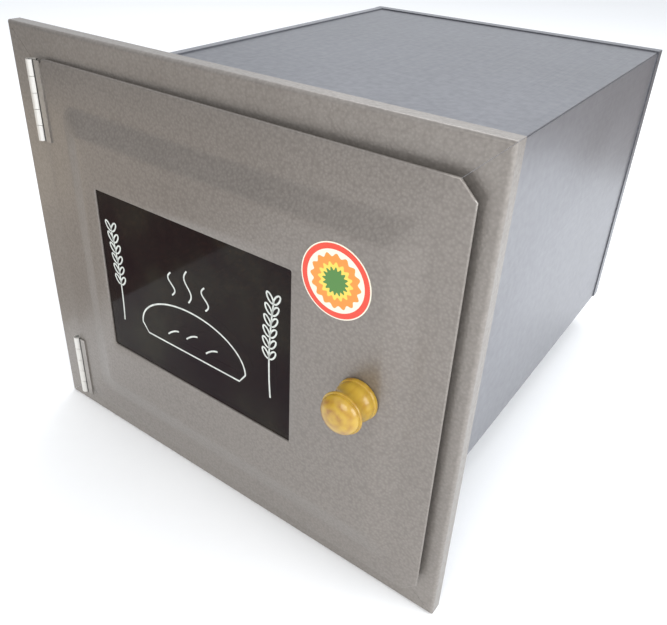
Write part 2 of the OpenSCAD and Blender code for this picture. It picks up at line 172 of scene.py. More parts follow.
# Slow drift of tone over a sheet, from handling and from the mill.
def makeDriftGroup():
    group, start, end = newGroup(
        "toneDrift",
        [
            ("Vector", "NodeSocketVector", None),
            ("Scale", "NodeSocketFloat", 9.0),
            ("Depth", "NodeSocketFloat", 0.1),
        ],
        [("Factor", "NodeSocketFloat"), ("Wave", "NodeSocketFloat")],
    )
    link = group.links.new
    slow = addNode(group, "ShaderNodeTexNoise", (-500, 120))
    setInput(slow, "Detail", 3.0)
    setInput(slow, "Roughness", 0.55)
    link(start.outputs["Vector"], slow.inputs["Vector"])
    link(start.outputs["Scale"], slow.inputs["Scale"])
    spread = addNode(group, "ShaderNodeMapRange", (-260, 120))
    setInput(spread, "From Min", 0.3)
    setInput(spread, "From Max", 0.7)
    link(slow.outputs["Fac"], spread.inputs["Value"])
    low = addNode(group, "ShaderNodeMath", (-260, -100), operation="SUBTRACT")
    low.inputs[0].default_value = 1.0
    link(start.outputs["Depth"], low.inputs[1])
    link(low.outputs[0], spread.inputs["To Min"])
    high = addNode(group, "ShaderNodeMath", (-260, -260), operation="ADD")
    high.inputs[0].default_value = 1.0
    link(start.outputs["Depth"], high.inputs[1])
    link(high.outputs[0], spread.inputs["To Max"])
    bend = addNode(group, "ShaderNodeTexNoise", (-500, -420))
    setInput(bend, "Scale", 5.0)
    setInput(bend, "Detail", 1.0)
    link(start.outputs["Vector"], bend.inputs["Vector"])
    link(spread.outputs[0], end.inputs["Factor"])
    link(bend.outputs["Fac"], end.inputs["Wave"])
    return group


# Wear and painted shade: pale along edges that stand out (wear), and darker in the concave corners, which is
# painted shade.
def makeEdgeGroup():
    group, start, end = newGroup(
        "edgeWearAndCornerShade",
        [("Vector", "NodeSocketVector", None), ("Amount", "NodeSocketFloat", 0.5)],
        [("Worn", "NodeSocketFloat"), ("CornerShade", "NodeSocketFloat")],
    )
    link = group.links.new
    shape = addNode(group, "ShaderNodeNewGeometry", (-700, 100))
    edge = addNode(group, "ShaderNodeMapRange", (-480, 160))
    setInput(edge, "From Min", 0.52)
    setInput(edge, "From Max", 0.6)
    link(shape.outputs["Pointiness"], edge.inputs["Value"])
    # painted shade: concave places, found by pointiness, are marked for darkening as if shadowed
    corner = addNode(group, "ShaderNodeMapRange", (-480, -120))
    setInput(corner, "From Min", 0.49)
    setInput(corner, "From Max", 0.42)
    link(shape.outputs["Pointiness"], corner.inputs["Value"])
    broken = addNode(group, "ShaderNodeTexNoise", (-700, -380))
    setInput(broken, "Scale", 160.0)
    setInput(broken, "Detail", 4.0)
    link(start.outputs["Vector"], broken.inputs["Vector"])
    worn = addNode(group, "ShaderNodeMath", (-220, 160), operation="MULTIPLY")
    link(edge.outputs[0], worn.inputs[0])
    link(broken.outputs["Fac"], worn.inputs[1])
    wornAmount = addNode(group, "ShaderNodeMath", (0, 160), operation="MULTIPLY")
    link(worn.outputs[0], wornAmount.inputs[0])
    link(start.outputs["Amount"], wornAmount.inputs[1])
    cornerShade = addNode(group, "ShaderNodeMath", (0, -120), operation="MULTIPLY")
    link(corner.outputs[0], cornerShade.inputs[0])
    link(start.outputs["Amount"], cornerShade.inputs[1])
    link(wornAmount.outputs[0], end.inputs["Worn"])
    link(cornerShade.outputs[0], end.inputs["CornerShade"])
    return group


hammerGroup = makeHammerGroup()
driftGroup = makeDriftGroup()
edgeGroup = makeEdgeGroup()


def mixColour(tree, at, factor, first, second, blend="MIX"):
    node = tree.nodes.new("ShaderNodeMix")
    node.data_type = "RGBA"
    node.blend_type = blend
    node.location = at
    for socket, value in ((node.inputs[0], factor), (node.inputs[6], first), (node.inputs[7], second)):
        if hasattr(value, "is_linked"):
            tree.links.new(value, socket)
        elif isinstance(value, tuple):
            socket.default_value = (*value, 1)
        else:
            socket.default_value = value
    return node.outputs[2]


def scaleValue(tree, at, value, factor, offset=0.0):
    node = addNode(tree, "ShaderNodeMath", at, operation="MULTIPLY_ADD")
    tree.links.new(value, node.inputs[0])
    node.inputs[1].default_value = factor
    node.inputs[2].default_value = offset
    return node.outputs[0]


paintLook = {
    "base": (0.207, 0.184, 0.166),
    "leaf": (0.262, 0.237, 0.214),
    "wearAndCornerShade": 0.45,
    "metallic": 0.55,
    "roughness": 0.42,
    "hammerScale": 520.0,
    "bump": 0.14,
}


def makePaint(name, look):
    material, tree, shader, coords = newMaterial(name)
    link = tree.links.new
    hammer = useGroup(tree, hammerGroup, (-800, 200), Scale=look["hammerScale"])
    drift = useGroup(tree, driftGroup, (-800, -50), Scale=7.0, Depth=0.05)
    wearAndCornerShade = useGroup(tree, edgeGroup, (-800, -300), Amount=look["wearAndCornerShade"])
    for node in (hammer, drift, wearAndCornerShade):
        link(coords, node.inputs["Vector"])
    leafed = mixColour(tree, (-560, 200), hammer.outputs["Leaf"], look["base"], look["leaf"])
    drifted = addNode(tree, "ShaderNodeVectorMath", (-380, 120), operation="SCALE")
    link(leafed, drifted.inputs[0])
    link(drift.outputs["Factor"], drifted.inputs["Scale"])
    # painted shade: concave corners are darkened towards near-black (0.08, 0.07, 0.06)
    cornerShaded = mixColour(tree, (-200, 80), wearAndCornerShade.outputs["CornerShade"], drifted.outputs[0], (0.08, 0.07, 0.06))
    worn = mixColour(tree, (-20, 80), wearAndCornerShade.outputs["Worn"], cornerShaded, (0.62, 0.6, 0.56))
    link(worn, shader.inputs["Base Color"])
    shader.inputs["Metallic"].default_value = look["metallic"]
    shader.inputs["Coat Weight"].default_value = 0.25
    shader.inputs["Coat Roughness"].default_value = 0.18
    rough = scaleValue(tree, (-200, -160), drift.outputs["Factor"], 0.9, look["roughness"] - 0.9)
    link(rough, shader.inputs["Roughness"])
    waves = addNode(tree, "ShaderNodeBump", (-200, -340))
    waves.inputs["Strength"].default_value = 0.35
    waves.inputs["Distance"].default_value = 0.004
    link(drift.outputs["Wave"], waves.inputs["Height"])
    bump = addNode(tree, "ShaderNodeBump", (0, -340))
    bump.inputs["Strength"].default_value = look["bump"]
    bump.inputs["Distance"].default_value = 0.0006
    link(hammer.outputs["Height"], bump.inputs["Height"])
    link(waves.outputs[0], bump.inputs["Normal"])
    link(bump.outputs[0], shader.inputs["Normal"])
    return material


# the slot colour and its band are painted shade for the gap beside the barrel; bright is the rubbed barrel
hingeWearAndShade = {"barrel": 0.0037, "slotShadeEnd": 0.0053, "bright": (0.72, 0.7, 0.66), "slotShade": (0.02, 0.018, 0.016)}


# The hinges: paint on the leaves, rubbed bright on the barrel, and painted shade as a near-black band in the gap
# beside it.
def makeHingePaint(look):
    material = makePaint("hingePaint", {**look, "bump": 0.05})
    tree = material.node_tree
    link = tree.links.new
    shader = tree.nodes["Principled BSDF"]
    painted = shader.inputs["Base Color"].links[0].from_socket
    coords = next(node for node in tree.nodes if node.type == "TEX_COORD")
    axis = hinge["pos_m"]
    place = addNode(tree, "ShaderNodeVectorMath", (-1000, 600), operation="SUBTRACT")
    place.inputs[1].default_value = axis
    link(coords.outputs["Object"], place.inputs[0])
    parts = addNode(tree, "ShaderNodeSeparateXYZ", (-840, 600))
    link(place.outputs[0], parts.inputs[0])
    onBarrel = addNode(tree, "ShaderNodeMapRange", (-600, 600), interpolation_type="SMOOTHSTEP")
    setInput(onBarrel, "From Min", hingeWearAndShade["barrel"])
    setInput(onBarrel, "From Max", hingeWearAndShade["barrel"] - 0.0006)
    link(parts.outputs["X"], onBarrel.inputs["Value"])
    # painted shade: a near-black band just outside the barrel stands for the shadowed gap beside it
    inSlotShade = addNode(tree, "ShaderNodeMapRange", (-600, 900))
    setInput(inSlotShade, "From Min", hingeWearAndShade["slotShadeEnd"])
    setInput(inSlotShade, "From Max", hingeWearAndShade["slotShadeEnd"] - 0.0003)
    link(parts.outputs["X"], inSlotShade.inputs["Value"])
    dark = mixColour(tree, (-300, 700), inSlotShade.outputs[0], painted, hingeWearAndShade["slotShade"])
    bright = mixColour(tree, (-100, 600), onBarrel.outputs[0], dark, hingeWearAndShade["bright"])
    link(bright, shader.inputs["Base Color"])
    return material


steelLook = {
    "base": (0.128, 0.130, 0.146),
    "wearAndCornerShade": 0.25,
    "metallic": 0.85,
    "roughness": 0.36,
    "grainAcross": 900.0,
    "grainAlong": 6.0,
}


def makeSteel(name, look):
    material, tree, shader, coords = newMaterial(name)
    link = tree.links.new
    drift = useGroup(tree, driftGroup, (-800, 100), Scale=6.0, Depth=0.07)
    wearAndCornerShade = useGroup(tree, edgeGroup, (-800, -160), Amount=look["wearAndCornerShade"])
    for node in (drift, wearAndCornerShade):
        link(coords, node.inputs["Vector"])
    stretch = addNode(tree, "ShaderNodeMapping", (-980, -420))
    stretch.inputs["Scale"].default_value = (look["grainAcross"], look["grainAlong"], look["grainAcross"])
    link(coords, stretch.inputs["Vector"])
    grain = addNode(tree, "ShaderNodeTexNoise", (-800, -420))
    setInput(grain, "Scale", 1.0)
    setInput(grain, "Detail", 3.0)
    link(stretch.outputs[0], grain.inputs["Vector"])
    toned = addNode(tree, "ShaderNodeVectorMath", (-560, 100), operation="SCALE")
    toned.inputs[0].default_value = look["base"]
    link(drift.outputs["Factor"], toned.inputs["Scale"])
    streak = scaleValue(tree, (-560, -60), grain.outputs["Fac"], 0.22, 0.89)
    streaked = addNode(tree, "ShaderNodeVectorMath", (-380, 60), operation="SCALE")
    link(toned.outputs[0], streaked.inputs[0])
    link(streak, streaked.inputs["Scale"])
    # painted shade: concave corners are darkened towards near-black (0.07, 0.06, 0.055)
    cornerShaded = mixColour(tree, (-200, 60), wearAndCornerShade.outputs["CornerShade"], streaked.outputs[0], (0.07, 0.06, 0.055))
    worn = mixColour(tree, (-20, 60), wearAndCornerShade.outputs["Worn"], cornerShaded, (0.6, 0.6, 0.62))
    link(worn, shader.inputs["Base Color"])
    shader.inputs["Metallic"].default_value = look["metallic"]
    rough = scaleValue(tree, (-200, -160), grain.outputs["Fac"], 0.16, look["roughness"] - 0.08)
    link(rough, shader.inputs["Roughness"])
    waves = addNode(tree, "ShaderNodeBump", (-200, -340))
    waves.inputs["Strength"].default_value = 0.6
    waves.inputs["Distance"].default_value = 0.006
    link(drift.outputs["Wave"], waves.inputs["Height"])
    scratches = addNode(tree, "ShaderNodeBump", (0, -340))
    scratches.inputs["Strength"].default_value = 0.05
    scratches.inputs["Distance"].default_value = 0.0002
    link(grain.outputs["Fac"], scratches.inputs["Height"])
    link(waves.outputs[0], scratches.inputs["Normal"])
    link(scratches.outputs[0], shader.inputs["Normal"])
    return material


def makeWire():
    material, tree, shader, coords = newMaterial("rackWire")
    link = tree.links.new
    spots = addNode(tree, "ShaderNodeTexNoise", (-800, 0))
    setInput(spots, "Scale", 240.0)
    setInput(spots, "Detail", 4.0)
    link(coords, spots.inputs["Vector"])
    tone = ramp(tree, (-500, 100), [(0.35, (0.5, 0.49, 0.47)), (0.6, (0.68, 0.68, 0.7))])
    link(spots.outputs["Fac"], tone.inputs["Fac"])
    link(tone.outputs["Color"], shader.inputs["Base Color"])
    shader.inputs["Metallic"].default_value = 1.0
    link(scaleValue(tree, (-300, -160), spots.outputs["Fac"], 0.2, 0.14), shader.inputs["Roughness"])
    return material


glassShadeAndFilm = [(0.35, (0.010, 0.003, 0.005)), (0.5, (0.014, 0.008, 0.008)), (0.68, (0.026, 0.022, 0.016))]


# Stove glass: glossy, with a near-black base colour that is painted shade for the unlit oven inside, made uneven
# as a thin film of smoke.
def makeGlass():
    material, tree, shader, coords = newMaterial("stoveGlass")
    link = tree.links.new
    cloud = addNode(tree, "ShaderNodeTexNoise", (-800, 120))
    setInput(cloud, "Scale", 14.0)
    setInput(cloud, "Detail", 5.0)
    link(coords, cloud.inputs["Vector"])
    speck = addNode(tree, "ShaderNodeTexVoronoi", (-800, -120))
    setInput(speck, "Scale", 260.0)
    link(coords, speck.inputs["Vector"])
    speckTone = ramp(tree, (-560, -120), [(0.1, (1.5, 1.35, 1.1)), (0.5, (0.7, 0.75, 0.75))])
    link(speck.outputs["Distance"], speckTone.inputs["Fac"])
    # painted shade: the film ramp gives a near-black base that stands for the dark inside of the oven, varied as
    # an uneven film
    film = ramp(tree, (-560, 120), glassShadeAndFilm)
    link(cloud.outputs["Fac"], film.inputs["Fac"])
    mixed = mixColour(tree, (-260, 80), 0.6, film.outputs["Color"], speckTone.outputs["Color"], "MULTIPLY")
    link(mixed, shader.inputs["Base Color"])
    shader.inputs["Roughness"].default_value = 0.06
    shader.inputs["IOR"].default_value = 1.5
    shader.inputs["Specular IOR Level"].default_value = 0.08
    shader.inputs["Alpha"].default_value = 0.93
    return material


def makePrint():
    material, tree, shader, coords = newMaterial("printWhite")
    link = tree.links.new
    patch = addNode(tree, "ShaderNodeTexNoise", (-800, 0))
    setInput(patch, "Scale", 320.0)
    setInput(patch, "Detail", 3.0)
    link(coords, patch.inputs["Vector"])
    tone = ramp(tree, (-500, 60), [(0.3, (0.5, 0.52, 0.49)), (0.65, (0.68, 0.71, 0.66))])
    link(patch.outputs["Fac"], tone.inputs["Fac"])
    link(tone.outputs["Color"], shader.inputs["Base Color"])
    shader.inputs["Roughness"].default_value = 0.45
    return material


woodLook = {
    "light": (0.47, 0.29, 0.016),
    "middle": (0.39, 0.21, 0.01),
    "deep": (0.26, 0.095, 0.006),
    "ringScale": 60.0,
}


# Turned pale wood under yellow varnish; the grain runs along the knob's axis.
def makeWood(centre):
    material, tree, shader, coords = newMaterial("knobWood")
    link = tree.links.new
    place = addNode(tree, "ShaderNodeMapping", (-1000, 0), vector_type="POINT")
    place.inputs["Location"].default_value = tuple(-x for x in centre)
    link(coords, place.inputs["Vector"])
    squeeze = addNode(tree, "ShaderNodeMapping", (-820, 0))
    squeeze.inputs["Scale"].default_value = (1.0, 0.16, 1.0)
    squeeze.inputs["Rotation"].default_value = (0.12, 0.0, 0.2)
    link(place.outputs[0], squeeze.inputs["Vector"])
    fibre = addNode(tree, "ShaderNodeTexNoise", (-620, 160))
    setInput(fibre, "Scale", 190.0)
    setInput(fibre, "Detail", 4.0)
    link(squeeze.outputs[0], fibre.inputs["Vector"])
    rings = addNode(tree, "ShaderNodeTexWave", (-620, -100), wave_type="RINGS")
    rings.rings_direction = "Y"
    setInput(rings, "Scale", woodLook["ringScale"])
    setInput(rings, "Distortion", 5.0)
    setInput(rings, "Detail", 2.0)
    link(squeeze.outputs[0], rings.inputs["Vector"])
    both = mixColour(tree, (-400, 40), 0.16, fibre.outputs["Color"], rings.outputs["Color"])
    look = woodLook
    tone = ramp(tree, (-220, 40), [(0.3, look["deep"]), (0.42, look["middle"]), (0.6, look["light"])])
    link(both, tone.inputs["Fac"])
    link(tone.outputs["Color"], shader.inputs["Base Color"])
    shader.inputs["Roughness"].default_value = 0.42
    shader.inputs["Coat Weight"].default_value = 0.8
    shader.inputs["Coat Roughness"].default_value = 0.12
    bump = addNode(tree, "ShaderNodeBump", (-100, -300))
    bump.inputs["Strength"].default_value = 0.12
    bump.inputs["Distance"].default_value = 0.0003
    link(fibre.outputs["Fac"], bump.inputs["Height"])
    link(bump.outputs[0], shader.inputs["Normal"])
    return material


labelLook = {
    "red": (0.72, 0.05, 0.02),
    "cream": (0.83, 0.76, 0.62),
    "orange": (0.8, 0.26, 0.03),
    "yellow": (0.86, 0.6, 0.08),
    "green": (0.06, 0.2, 0.03),
    "petals": 16,
}


# A plain rosette: red rim, cream field, a ring of petals and a green middle.
def makeLabel(centre, radius):
    material, tree, shader, coords = newMaterial("labelFilm")
    link = tree.links.new
    place = addNode(tree, "ShaderNodeVectorMath", (-1000, 0), operation="SUBTRACT")
    place.inputs[1].default_value = centre
    link(coords, place.inputs[0])
    parts = addNode(tree, "ShaderNodeSeparateXYZ", (-840, 0))
    link(place.outputs[0], parts.inputs[0])
    flat = addNode(tree, "ShaderNodeCombineXYZ", (-680, 100))
    link(parts.outputs["X"], flat.inputs["X"])
    link(parts.outputs["Z"], flat.inputs["Y"])
    size = addNode(tree, "ShaderNodeVectorMath", (-520, 100), operation="LENGTH")
    link(flat.outputs[0], size.inputs[0])
    r = scaleValue(tree, (-360, 100), size.outputs["Value"], 1 / radius)
    angle = addNode(tree, "ShaderNodeMath", (-680, -120), operation="ARCTAN2")
    link(parts.outputs["Z"], angle.inputs[0])
    link(parts.outputs["X"], angle.inputs[1])
    turns = scaleValue(tree, (-520, -120), angle.outputs[0], labelLook["petals"])
    wave = addNode(tree, "ShaderNodeMath", (-360, -120), operation="COSINE")
    link(turns, wave.inputs[0])
    lifted = scaleValue(tree, (-200, -120), wave.outputs[0], -0.045)
    petalR = addNode(tree, "ShaderNodeMath", (-60, -40), operation="ADD")
    link(r, petalR.inputs[0])
    link(lifted, petalR.inputs[1])
    look = labelLook
    rimStops = [(0.0, look["cream"]), (0.82, look["red"]), (0.965, look["cream"])]
    rings = ramp(tree, (120, 160), rimStops, "CONSTANT")
    link(r, rings.inputs["Fac"])
    petalStops = [(0.0, look["green"]), (0.33, look["yellow"]), (0.46, look["orange"]), (0.68, look["cream"])]
    petals = ramp(tree, (120, -100), petalStops, "CONSTANT")
    link(petalR.outputs[0], petals.inputs["Fac"])
    inner = addNode(tree, "ShaderNodeMath", (120, 380), operation="LESS_THAN")
    inner.inputs[1].default_value = 0.76
    link(r, inner.inputs[0])
    colour = mixColour(tree, (420, 60), inner.outputs[0], rings.outputs["Color"], petals.outputs["Color"])
    link(colour, shader.inputs["Base Color"])
    shader.inputs["Roughness"].default_value = 0.38
    shader.inputs["Coat Weight"].default_value = 0.3
    shader.inputs["Coat Roughness"].default_value = 0.25
    return material


framePaint = makePaint("framePaint", {**paintLook, "wearAndCornerShade": 0.12})
doorPaint = makePaint("doorPaint", paintLook)
hingePaint = makeHingePaint(paintLook)
# boxSteel and the side copy are one steel: the side panels get a lighter base colour as painted light, for the
# brighter light falling on the sides
boxSteel = makeSteel("boxSteel", steelLook)
sideSteelPaintedLighter = makeSteel("sideSteelPaintedLighter", {**steelLook, "base": (0.2, 0.203, 0.224)})
panSteel = makeSteel("panSteel", {**steelLook, "base": (0.3, 0.29, 0.28), "roughness": 0.42})
boltSteel = makeSteel("boltSteel", {**steelLook, "base": (0.4, 0.4, 0.39), "roughness": 0.32})
rackWire = makeWire()
stoveGlass = makeGlass()
printWhite = makePrint()
print("stage: materials")


def coat(node, material):
    node.data.materials.clear()
    node.data.materials.append(material)


coats = {
    framePaint: ("frame_top_rail", "frame_bottom_rail", "frame_left_stile", "frame_right_stile"),
    hingePaint: ("upper_hinge_frame_leaf", "lower_hinge_frame_leaf", "upper_hinge_door_leaf",
                 "lower_hinge_door_leaf"),
    doorPaint: ("door_skin",),
    boxSteel: ("top_panel", "bottom_panel", "back_panel", "lower_left_runner", "lower_right_runner",
               "upper_left_runner", "upper_right_runner"),
    sideSteelPaintedLighter: ("left_panel", "right_panel"),
    panSteel: ("door_pan", "glass_channel"),
    boltSteel: ("upper_hinge_pin", "lower_hinge_pin", "knob_screw", "knob_washer", "catch_spring",
                "catch_rivets"),
    rackWire: ("rack_frame", "rack_wires"),
    stoveGlass: ("door_glass",),
}
for material, names in coats.items():
    for name in names:
        coat(frame["nodes"][name], material)

labelLow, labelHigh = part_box("round_label")
labelMid = tuple((labelLow + labelHigh) / 2)
coat(frame["nodes"]["round_label"], makeLabel(labelMid, (labelHigh.z - labelLow.z) / 2))
knobLow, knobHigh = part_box("knob")
knobWood = makeWood(tuple((knobLow + knobHigh) / 2))
coat(frame["nodes"]["knob"], knobWood)


# Dressed pieces


def meshObject(name, points, faces, material, smooth=True, turn=None):
    mesh = bpy.data.meshes.new(name)
    mesh.from_pydata([turn @ Vector(p) if turn else Vector(p) for p in points], [], faces)
    work = bmesh.new()
    work.from_mesh(mesh)
    bmesh.ops.remove_doubles(work, verts=work.verts, dist=1e-6)
    bmesh.ops.recalc_face_normals(work, faces=work.faces)
    work.to_mesh(mesh)
    work.free()
    mesh.materials.append(material)
    mesh.shade_smooth() if smooth else mesh.shade_flat()
    if smooth:
        mesh.set_sharp_from_angle(angle=math.radians(38))
    obj = bpy.data.objects.new(name, mesh)
    bpy.context.scene.collection.objects.link(obj)
    return obj


def blend(a, b, t):
    return tuple(x + (y - x) * t for x, y in zip(a, b))


doorShape = {
    "outline": (-168.65, 188.5, -14.0, 293.0),
    "chamfer": 10.5,
    "field": (-142.65, 165.5, 3.5, 263.0),
    "window": (-108.65, 79.0, 68.0, 207.5),
    "front": -14.5,
    "back": -12.3,
    "sheet": 1.1,
    "hem": 8.0,
    "slope": 19.0,
    "height": 5.0,
    "blur": 2.5,
    "sidePoints": 26,
    "cornerPoints": 6,
    "slopeRings": 16,
}


# One loop round the door: four sides and four corners, each corner cut straight or rounded.
def doorRing(rect, inset, cut, rounding, y):
    shape = doorShape
    x0, x1, z0, z1 = rect[0] + inset, rect[1] - inset, rect[2] + inset, rect[3] - inset
    ring = []
    corners = ((x1, z0), (x1, z1), (x0, z1), (x0, z0))
    starts = ((x0 + cut, z0), (x1, z0 + cut), (x1 - cut, z1), (x0, z1 - cut))
    ends = ((x1 - cut, z0), (x1, z1 - cut), (x0 + cut, z1), (x0, z0 + cut))
    for side in range(4):
        for i in range(shape["sidePoints"]):
            ring.append(blend(starts[side], ends[side], i / shape["sidePoints"]))
        first, last = ends[side], starts[(side + 1) % 4]
        corner = corners[side]
        centre = (first[0] + last[0] - corner[0], first[1] + last[1] - corner[1])
        for i in range(shape["cornerPoints"]):
            t = i / shape["cornerPoints"]
            straight = blend(first, last, t)
            c, s = math.cos(t * math.pi / 2), math.sin(t * math.pi / 2)
            arc = tuple(centre[k] + (first[k] - centre[k]) * c + (last[k] - centre[k]) * s for k in (0, 1))
            ring.append(blend(straight, arc, rounding))
    return [(x * mm, y * mm, z * mm) for x, z in ring]


# Height of the pressed field at a distance in from its outer line, with both bends eased.
def fieldHeight(d):
    shape = doorShape
    ease, span, top = shape["blur"], shape["slope"], shape["height"]

    def ramped(x):
        if x <= -ease:
            return 0.0
        if x >= ease:
            return x
        return (x + ease) ** 2 / (4 * ease)

    return top * (ramped(d) - ramped(d - span)) / span


def makeDoorSkin():
    shape = doorShape
    outline, field, window = shape["outline"], shape["field"], shape["window"]
    front, back, sheet = shape["front"], shape["back"], shape["sheet"]
    middle, roll = (front + back) / 2, (back - front) / 2
    chamfer = shape["chamfer"]
    # A 45 degree cut loses this share of the inset, so that its line stays parallel.
    cutShare = 0.586
    rings = [doorRing(outline, shape["hem"], chamfer - cutShare * shape["hem"], 0, back)]
    for i in range(9):
        a = math.pi * i / 8
        inset = roll * (1 - math.sin(a))
        rings.append(doorRing(outline, inset, chamfer - cutShare * inset, 0, middle + roll * math.cos(a)))
    reach = shape["blur"]
    steps = shape["slopeRings"]
    insets = [-reach + (shape["slope"] + 2 * reach) * i / steps for i in range(steps + 1)]

    def slopeRing(inset, lift):
        t = max(0.0, min(1.0, inset / shape["slope"]))
        return doorRing(field, inset, 14 - 8 * t, 1, front + lift - fieldHeight(inset))

    rings += [slopeRing(inset, 0) for inset in insets]
    inner = rings[-1]
    top = front - shape["height"]
    for step, (inset, y) in enumerate(((-0.3, top), (-0.1, top + 0.1), (0, top + 0.3), (0, top + sheet))):
        ring = doorRing(window, inset, 1.5, 1, y)
        if step == 0:
            rings += [[blend(a, b, t) for a, b in zip(inner, ring)] for t in (0.25, 0.5, 0.75)]
        rings.append(ring)
    rings += [slopeRing(inset, sheet) for inset in reversed(insets)]
    rings.append(doorRing(outline, shape["hem"], chamfer - cutShare * shape["hem"], 0, front + sheet))
    count = len(rings[0])
    points = [p for ring in rings for p in ring]
    faces = []
    for i in range(len(rings)):
        j = (i + 1) % len(rings)
        for k in range(count):
            n = (k + 1) % count
            faces.append((i * count + k, i * count + n, j * count + n, j * count + k))
    skin = meshObject("doorSkin", points, faces, doorPaint, turn=doorTurn)
    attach(skin, "door")
    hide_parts("door_skin")


knobShape = {
    "axis": (134.0, 137.5),
    "base": -19.5,
    "sides": 64,
    "profile": (
        (2.45, 0.0), (13.2, 0.0), (14.1, 0.3), (14.5, 1.1), (14.5, 2.4), (14.2, 3.2), (13.7, 3.5), (13.6, 4.0),
        (13.9, 5.2), (13.4, 7.4), (12.8, 9.2), (12.5, 11.0), (12.7, 13.0), (13.3, 15.0), (14.0, 16.6),
        (14.5, 17.6), (14.7, 18.3), (14.5, 18.9), (14.0, 19.1), (13.5, 19.2), (13.3, 19.5), (13.6, 19.8),
        (13.7, 20.3), (13.4, 21.4), (12.6, 22.8), (11.3, 24.2), (9.6, 25.4), (7.4, 26.4), (4.8, 27.1),
        (2.4, 27.4), (0.8, 27.5),
    ),
    "boreDepth": 12.0,
}


def makeKnob(material):
    shape = knobShape
    sides = shape["sides"]
    (ax, az), base = shape["axis"], shape["base"]
    rings = shape["profile"]
    points, faces = [], []

    def addRing(r, out):
        for k in range(sides):
            a = 2 * math.pi * k / sides
            points.append(((ax + r * math.cos(a)) * mm, (base - out) * mm, (az + r * math.sin(a)) * mm))

    for r, out in rings:
        addRing(r, out)
    for i in range(len(rings) - 1):
        for k in range(sides):
            n = (k + 1) % sides
            faces.append((i * sides + k, i * sides + n, (i + 1) * sides + n, (i + 1) * sides + k))
    boreEnd = len(points)
    addRing(rings[0][0], shape["boreDepth"])
    for k in range(sides):
        n = (k + 1) % sides
        faces.append((k, n, boreEnd + n, boreEnd + k))
    faces.append(tuple(boreEnd + k for k in range(sides)))
    faces.append(tuple((len(rings) - 1) * sides + k for k in range(sides)))
    knob = meshObject("turnedKnob", points, faces, material, turn=doorTurn)
    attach(knob, "door")
    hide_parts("knob")


printShape = {
    "centre": (-16.0, 138.0),
    "line": 1.3,
    "film": 0.1,
    "glassFront": -18.4,
    "loaf": (54.0, 31.0),
    "earX": 77.0,
    "earHeight": 78.0,
    "grains": 6,
}


# A printed line as a flat strip with mitred joints, closed or open.
def addStrip(points, faces, path, closed=False):
    half, y, face = printShape["line"] / 2, printShape["glassFront"], printShape["glassFront"] - printShape["film"]
    ends = len(path)
    start = len(points)
    for i, (x, z) in enumerate(path):
        before = path[i - 1] if closed or i else path[0]
        after = path[(i + 1) % ends] if closed or i < ends - 1 else path[-1]
        dx, dz = after[0] - before[0], after[1] - before[1]
        size = math.hypot(dx, dz)
        nx, nz = -dz / size * half, dx / size * half
        for sx, sz, sy in ((nx, nz, face), (-nx, -nz, face), (-nx, -nz, y), (nx, nz, y)):
            points.append(((x + sx) * mm, sy * mm, (z + sz) * mm))
    for i in range(ends if closed else ends - 1):
        a, b = start + 4 * i, start + 4 * ((i + 1) % ends)
        for k in range(4):
            n = (k + 1) % 4
            faces.append((a + k, a + n, b + n, b + k))
    if not closed:
        faces.append(tuple(start + k for k in range(4)))
        faces.append(tuple(start + 4 * (ends - 1) + k for k in range(4)))


# The window's generic picture: a round loaf with steam between two ears of wheat.
def makePrintPiece():
    shape = printShape
    cx, cz = shape["centre"]
    rx, rz = shape["loaf"]
    points, faces = [], []
    base = cz - 40
    angles = [math.pi * i / 36 for i in range(37)]
    crust = [(cx + rx * math.cos(a), base + 8 + rz * math.sin(a)) for a in angles]
    foot = [(cx - rx + 6, base), (cx + rx - 6, base)]
    addStrip(points, faces, crust + foot, closed=True)
    for i in (-1, 0, 1):
        left, low = cx + i * 20 - 5, base + 13 - 4 * abs(i)
        addStrip(points, faces, [(left + 12 * t, low + 12 * t - 5 * t * t) for t in (j / 8 for j in range(9))])
    for i in (-1, 0, 1):
        top = 26 if i == 0 else 19
        curl = [j / 20 for j in range(21)]
        addStrip(points, faces, [(cx + i * 17 + 3.2 * math.sin(6.28 * t), base + 47 + top * t) for t in curl])
    for side in (-1, 1):
        def stem(t):
            return cx + side * (shape["earX"] + 9 * t * t - 6 * t), base + shape["earHeight"] * t

        addStrip(points, faces, [stem(j / 20) for j in range(21)])
        for i in range(shape["grains"]):
            sx, sz = stem(0.42 + 0.58 * i / (shape["grains"] - 1))
            for hand in (-1, 1):
                tilt = math.radians(90 - hand * 33)
                c, s = math.cos(tilt), math.sin(tilt)
                grain = []
                for j in range(18):
                    a = 2 * math.pi * j / 18
                    u, v = 5.4 + 4.4 * math.cos(a), 1.9 * math.sin(a)
                    grain.append((sx + u * c - v * s, sz + u * s + v * c))
                addStrip(points, faces, grain, closed=True)
    piece = meshObject("glassPrint", points, faces, printWhite, smooth=False, turn=doorTurn)
    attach(piece, "door")


wireGrid = {"count": 17, "wire": 3.0, "sides": 16}


